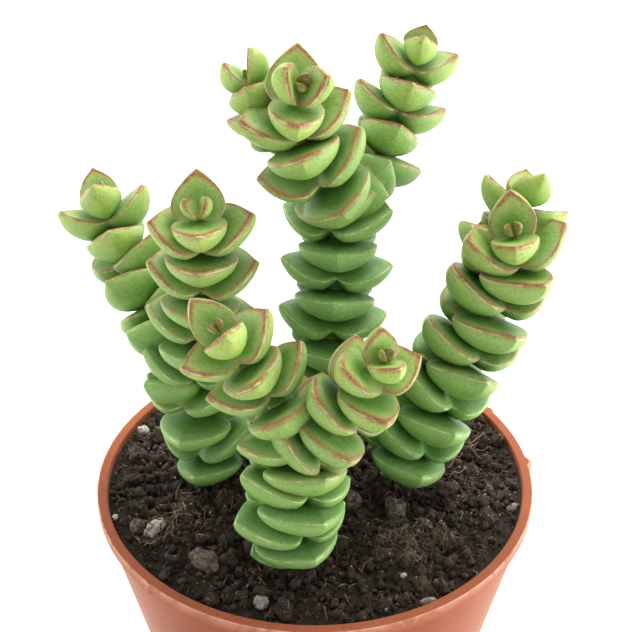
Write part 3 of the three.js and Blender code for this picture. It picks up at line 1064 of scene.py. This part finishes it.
class LeafLook(Look):
    """The look of leaves and stems, from the values that their points hold."""

    def __init__(self):
        super().__init__(
            "leaf", Subsurface_Weight=0.2, Subsurface_Radius=(0.5, 1, 0.2), Subsurface_Scale=1.2 * MM,
            Coat_Weight=0.05, Coat_Roughness=0.4, IOR=1.4, Specular_IOR_Level=0.35,
        )
        self.margin, self.reach = self.value("margin"), self.value("reach")
        self.tone, self.age = self.value("tone"), self.value("age")
        self.patchy = self.noise(2.2, 3)
        self.fine = self.noise(0.35, 2)

    def green(self):
        """Deep in the middle of a leaf, paler towards its margin, both darker with age, with painted shade
        near the stem.
        """
        aged = self.plus(self.times(self.age, 0.1), self.times(self.tone, 0.12))
        greens = {part: self.colours(aged, list(zip(GREEN_AGES, stops))) for part, stops in GREENS.items()}
        is_upper = self.ramp(self.margin, -0.05, 0.05)
        middle = self.mix(is_upper, greens["lower"], greens["upper"])
        edge = self.mix(is_upper, greens["lower edge"], greens["upper edge"])
        wander = self.plus(self.math("ABSOLUTE", self.margin), self.ramp(self.patchy, 0.3, 0.7, -0.4, 0.4))
        colour = self.mix(self.ramp(wander, 3.2, 0.3), middle, edge)
        # Painted shade: the green darkens towards the stem, where the pairs overlap and shade each other
        root = self.times(self.ramp(self.reach, 0.55, 0.05, 0, 0.6), self.ramp(self.age, 0, 5, 0.35, 1))
        colour = self.mix(root, colour, (0.05, 0.17, 0.012))
        gold = self.times(self.ramp(self.reach, 0.4, 1, 0, 0.6), self.ramp(self.age, 6, 0.5))
        return self.mix(gold, colour, (0.43, 0.5, 0.1))

    def skin_marks(self, colour):
        """Waxy bloom in soft patches, the grain and dots of the skin, and freckles by the margin."""
        bloom = self.times(self.ramp(self.patchy, 0.45, 0.75), self.ramp(self.tone, 0.1, 0.9, 0.12, 0.38))
        colour = self.mix(bloom, colour, (0.34, 0.5, 0.24))
        colour = self.mix(self.ramp(self.fine, 0.4, 0.72, 0, 0.3), colour, (0.1, 0.2, 0.03))
        colour = self.mix(self.ramp(self.fine, 0.45, 0.25, 0, 0.2), colour, (0.52, 0.62, 0.24))
        dots = self.times(self.ramp(self.cells(1.05), 0.2, 0.1, 0, 0.6), self.ramp(self.patchy, 0.42, 0.62))
        colour = self.mix(dots, colour, (0.07, 0.12, 0.02))
        beside = self.ramp(self.math("ABSOLUTE", self.margin), 2.4, 0.4)
        beside = self.times(beside, self.ramp(self.patchy, 0.36, 0.6))
        freckles = self.times(self.ramp(self.cells(0.62), 0.2, 0.1, 0, 0.7), beside)
        return self.mix(freckles, colour, (0.15, 0.08, 0.025))

    def red_margin(self, colour):
        """A red line along the margin with a soft blush inside it, both spread at the point."""
        tip = self.ramp(self.reach, 0.7, 0.98)
        present = self.math("SUBTRACT", self.ramp(self.age, 8.5, 3.5, 0.02, 1), self.times(self.tone, 0.15))
        unbroken = self.math("MAXIMUM", self.ramp(self.noise(3.2, 2), 0.36, 0.6, 0.3, 1), tip)
        present = self.times(present, unbroken)
        spread = self.plus(self.times(tip, 1.1), self.ramp(self.patchy, 0.25, 0.75, 0.5, 1.2))
        above, below = self.math("DIVIDE", self.margin, spread), self.math("DIVIDE", self.margin, -0.45)
        inward = self.math("MAXIMUM", above, below)
        blush = self.times(self.ramp(inward, 1.3, 0.1, 0, 0.7), self.ramp(self.fine, 0.3, 0.6, 0.5, 1))
        colour = self.mix(self.times(blush, present, clamp=True), colour, (0.42, 0.2, 0.1))
        from_line = self.math("ABSOLUTE", self.math("SUBTRACT", self.margin, 0.14))
        width = self.ramp(self.patchy, 0.3, 0.7, 0.12, 0.28)
        width = self.plus(width, self.ramp(self.reach, 0.3, 0.95, 0, 0.3))
        line = self.ramp(self.math("DIVIDE", from_line, width), 1.5, 0.2)
        line = self.times(line, self.ramp(self.fine, 0.3, 0.62, 0.5, 1))
        line = self.times(line, self.ramp(self.reach, 0.1, 0.8, 0.45, 1))
        return self.mix(self.times(line, present, clamp=True), colour, (0.29, 0.085, 0.045))

    def painted_edge_highlight(self, colour):
        """A pale line just outside the red line: a painted waxy highlight along the edge."""
        pale = self.ramp(self.math("ABSOLUTE", self.plus(self.margin, 0.16)), 0.13, 0.03)
        pale = self.times(pale, self.ramp(self.noise(1.9, 3), 0.44, 0.62, 0.04, 0.7))
        return self.mix(pale, colour, (0.62, 0.64, 0.36))

    def painted_soil_shade(self, colour):
        """Painted shade: deeper green near the soil, where the low leaves lie in shadow."""
        low = self.ramp(self.height(), POT_HEIGHT + 12, POT_HEIGHT, 0, 0.5)
        return self.mix(low, colour, (0.035, 0.12, 0.03))

    def brown(self, colour):
        """Closed buds, and the woody foot of a stem."""
        bud = self.times(self.ramp(self.age, 0.3, 0.05), self.ramp(self.fine, 0.3, 0.65, 0.35, 0.8))
        colour = self.mix(bud, colour, (0.17, 0.12, 0.04))
        return self.mix(self.ramp(self.age, FOOT_AGE - 10, FOOT_AGE, 0, 0.9), colour, (0.1, 0.065, 0.035))


def leaf_look():
    look = LeafLook()
    colour = look.green()
    for layer in (look.skin_marks, look.red_margin, look.painted_edge_highlight, look.painted_soil_shade, look.brown):
        colour = layer(colour)
    look.put("Base Color", colour)
    look.put("Roughness", look.ramp(look.patchy, 0.2, 0.8, 0.42, 0.58))
    look.bump(look.plus(look.times(look.patchy, 1.2), look.times(look.fine, 0.3)), 0.16, 0.7)
    return look.material


def pot_look():
    look = Look(
        "pot_plastic", Subsurface_Weight=0.12, Subsurface_Radius=(1, 0.4, 0.2), Subsurface_Scale=1.2 * MM,
        IOR=1.49, Specular_IOR_Level=0.08,
        Sheen_Weight=0.3, Sheen_Roughness=0.3, Sheen_Tint=(1, 0.75, 0.6, 1),
    )
    cloudy = look.noise(14, 3)
    grain = look.noise(0.45, 3)
    streaks = look.noise(3.5, 4, 0.6, 1.5)
    height = look.height()
    colour = look.colours(cloudy, [(0.3, (0.255, 0.054, 0.017)), (0.7, (0.31, 0.072, 0.024))])
    colour = look.mix(look.ramp(streaks, 0.5, 0.8, 0, 0.14), colour, (0.45, 0.17, 0.09))
    colour = look.mix(look.ramp(grain, 0.6, 0.85, 0, 0.2), colour, (0.4, 0.11, 0.055))
    worn = look.times(look.value("wear"), look.ramp(streaks, 0.35, 0.6, 0.35, 0.9))
    colour = look.mix(worn, colour, (0.85, 0.5, 0.36))

    # The lip is painted a little paler, as painted light falling on it, and holds specks of soil on top
    lit_lip = look.ramp(height, LIP_FOOT - 0.4, LIP_FOOT + 0.4, 0, 0.12)
    colour = look.mix(lit_lip, colour, (0.62, 0.3, 0.21))
    dots = look.times(look.ramp(look.cells(1.1), 0.16, 0.09), look.ramp(look.noise(4, 2), 0.55, 0.62))
    dots = look.times(dots, look.ramp(height, POT_HEIGHT - 0.5, POT_HEIGHT - 0.2))
    colour = look.mix(look.times(dots, 0.85), colour, (0.08, 0.04, 0.025))
    look.put("Base Color", colour)
    look.put("Roughness", look.ramp(grain, 0.25, 0.75, 0.48, 0.62))
    look.bump(look.plus(look.times(grain, 0.3), streaks), 0.05, 0.6)
    return look.material


def peat_look():
    look = Look("peat", IOR=1.4)
    tone = look.value("tone")
    clumps = look.noise(1.6, 4, 0.6)
    grain = look.noise(0.3, 4, 0.7)
    mixed = look.plus(look.times(tone, 0.45), look.times(clumps, 0.75))
    dark, middle, light = (0.012, 0.0072, 0.0045), (0.032, 0.019, 0.0115), (0.085, 0.053, 0.033)
    colour = look.colours(mixed, [(0.25, dark), (0.6, middle), (1, light)])
    colour = look.mix(look.ramp(grain, 0.5, 0.72, 0, 0.6), colour, (0.15, 0.098, 0.062))

    # Paler where it has dried, with a fine web of fibres
    dry = 0
    for (x, y), radius in DRY_PATCHES:
        away = look.distance((x, y, SOIL_LEVEL))
        dry = look.plus(look.ramp(away, radius * 1.1, radius * 0.3), dry)
    dry = look.times(dry, look.ramp(look.noise(3.5, 4, 0.65), 0.42, 0.62))
    colour = look.mix(look.times(dry, 0.4, clamp=True), colour, (0.15, 0.108, 0.075))
    web = look.times(dry, look.ramp(look.noise(0.35, 5, 0.75, 2), 0.55, 0.68))
    colour = look.mix(look.times(web, 0.65, clamp=True), colour, (0.34, 0.27, 0.2))
    flecks = look.times(look.ramp(look.cells(1.2), 0.15, 0.08), look.ramp(grain, 0.46, 0.54))
    colour = look.mix(look.times(flecks, 0.8), colour, (0.45, 0.36, 0.27))
    look.put("Base Color", colour)
    look.put("Roughness", look.ramp(grain, 0.3, 0.7, 0.65, 0.95))
    look.bump(look.plus(clumps, look.times(grain, 0.9)), 0.6, 0.9)
    return look.material


def stone_look():
    look = Look("stone", IOR=1.5)
    tone = look.value("tone")
    cloud = look.noise(0.9, 4)
    grain = look.noise(0.2, 3)
    dark, middle, light = (0.09, 0.06, 0.045), (0.27, 0.21, 0.15), (0.72, 0.69, 0.62)
    colour = look.colours(tone, [(0, dark), (0.5, middle), (1, light)])

    # Earthy lumps are stained, pitted and crumbly, white stones hardly
    earthy = look.ramp(tone, 0.4, 0.95, 1, 0.12)
    stained = look.times(look.ramp(cloud, 0.45, 0.75, 0, 0.6), earthy)
    colour = look.mix(stained, colour, (0.16, 0.11, 0.075))
    pitted = look.times(look.ramp(grain, 0.55, 0.75, 0, 0.4), earthy)
    colour = look.mix(pitted, colour, (0.05, 0.035, 0.025))
    crumbly = look.times(look.ramp(look.noise(0.7, 5, 0.7), 0.44, 0.56, 0, 0.85), earthy)
    colour = look.mix(crumbly, colour, (0.045, 0.028, 0.02))
    look.put("Base Color", colour)
    look.put("Roughness", look.ramp(cloud, 0.3, 0.7, 0.7, 0.95))
    look.bump(look.plus(cloud, look.times(grain, 0.8)), 0.6, 0.9)
    return look.material


def fibre_look():
    look = Look("fibre", Roughness=0.8, IOR=1.4)
    tone = look.value("tone")
    grain = look.noise(0.6, 3)
    dark, middle, light = (0.12, 0.075, 0.045), (0.34, 0.24, 0.16), (0.6, 0.5, 0.4)
    colour = look.colours(tone, [(0, dark), (0.7, middle), (1, light)])
    colour = look.mix(look.ramp(grain, 0.4, 0.7, 0, 0.5), colour, (0.1, 0.06, 0.035))
    look.put("Base Color", colour)
    return look.material


def floor_look():
    look = Look("floor", Roughness=0.9)
    cloud = look.noise(220, 2)
    look.put("Base Color", look.colours(cloud, [(0.3, (0.93, 0.93, 0.925)), (0.7, (0.96, 0.96, 0.955))]))
    look.bump(look.noise(2, 2), 0.05, 0.2)
    return look.material


def dress(piece, look, slot, *nodes):
    """Puts a piece on the pot's body, with its look and what it stands for."""
    piece.data.materials.clear()
    piece.data.materials.append(look)
    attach(piece, "root")
    if nodes:
        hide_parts(*nodes)
    return piece


# The object

dress(pot(), pot_look(), "pot_plastic", "pot")

leaf = leaf_look()
plants = []
for seed, (node, spec) in enumerate(PLANTS.items()):
    made = dress(plant(node, spec, seed), leaf, "leaf", node)
    plants.append(BVHTree.FromObject(made, bpy.context.evaluated_depsgraph_get()))

peat, stone = peat_look(), stone_look()
pieces = [dress(soil_bed(), peat, "peat", "soil")]
draw = np.random.default_rng(LAYERS_SEED)
for name, layer in CRUMB_LAYERS.items():
    centres, radii = scattered(draw, layer, plants)
    made = crumbs(name, centres, radii, layer["fineness"], layer["seed"], layer["rough"])
    pieces.append(dress(made, peat, "peat"))
draw = np.random.default_rng(HEAPS_SEED)
heaps = [heaped(draw, foot_of(spec), plants) for spec in PLANTS.values()]
centres, radii = (np.concatenate(part) for part in zip(*heaps))
pieces.append(dress(crumbs("soil_heaps", centres, radii, 2, HEAP["seed"], HEAP["rough"]), peat, "peat"))
pieces.append(dress(stones(), stone, "peat"))

graph = bpy.context.evaluated_depsgraph_get()
graph.update()
grounds = [BVHTree.FromObject(made, graph) for made in pieces]
dress(specks(grounds, plants), stone, "peat")
dress(fibres(grounds, plants), fibre_look(), "peat")

# The floor, the light and the camera

FLOOR_RINGS = [100, 400, 1200, 3000]
FLOOR_SIDES = 96
AIM = (0, 0, 0.1)
WARM = (1, 0.985, 0.95)
SKY = 0.84

# Round lights: place, what they face and size in metres, power and colour
LIGHTS = {
    "key": ((0.15, 0.2, 0.6), AIM, 0.4, 2.9, WARM),
    "right": ((0.7, 0.42, 0.22), AIM, 0.6, 4.2, WARM),
    "side": ((0.62, -0.08, 0.03), (0.04, 0, 0.05), 0.3, 4.2, (1, 1, 1)),
    "left": ((-0.6, 0.3, 0.2), AIM, 0.6, 3.8, (1, 0.99, 0.97)),
    "back": ((0, 1.5, 1.1), (0, 1.1, 0), 1.6, 15, (1, 1, 1)),
}

# The camera, fitted to the ellipse of the pot's rim in the photograph
CAMERA_PLACE = (0.0004, -0.1381, 0.1845)  # in metres
CAMERA_TILT = 61.16  # degrees up from straight down
LENS = 49.46
SENSOR = 36  # its width, in millimetres like the lens


def floor():
    rings = [circle((0, 0), radius, 0, FLOOR_SIDES) for radius in FLOOR_RINGS]
    faces = [(0, 1 + i, 1 + (i + 1) % FLOOR_SIDES) for i in range(FLOOR_SIDES)]
    for r in range(len(rings) - 1):
        here = 1 + r * FLOOR_SIDES
        there = here + FLOOR_SIDES
        for i in range(FLOOR_SIDES):
            j = (i + 1) % FLOOR_SIDES
            faces.append((here + i, there + i, there + j, here + j))
    return add_mesh("floor", np.concatenate([[(0, 0, 0)], *rings]), faces)


def area_light(name, place, aim, size, power, colour):
    data = bpy.data.lights.new(name, "AREA")
    data.shape = "DISK"
    data.size = size
    data.energy = power
    data.color = colour
    light = bpy.data.objects.new(name, data)
    light.location = place
    light.rotation_euler = (Vector(aim) - Vector(place)).to_track_quat("-Z", "Y").to_euler()
    bpy.context.scene.collection.objects.link(light)


def add_world():
    world = bpy.data.worlds.new("studio")
    world.use_nodes = True
    background = world.node_tree.nodes["Background"]
    background.inputs["Color"].default_value = (1, 1, 1, 1)
    background.inputs["Strength"].default_value = SKY
    bpy.context.scene.world = world


def add_camera():
    lens = bpy.data.cameras.new("camera")
    lens.lens = LENS
    lens.sensor_width = SENSOR
    lens.clip_start = 0.01
    camera = bpy.data.objects.new("camera", lens)
    camera.location = CAMERA_PLACE
    camera.rotation_euler = (math.radians(CAMERA_TILT), 0, 0)
    bpy.context.scene.collection.objects.link(camera)
    bpy.context.scene.camera = camera


ground = floor()
ground.data.materials.append(floor_look())
for name, light in LIGHTS.items():
    area_light(name, *light)
add_world()
add_camera()
bpy.context.scene.view_settings.view_transform = "Standard"
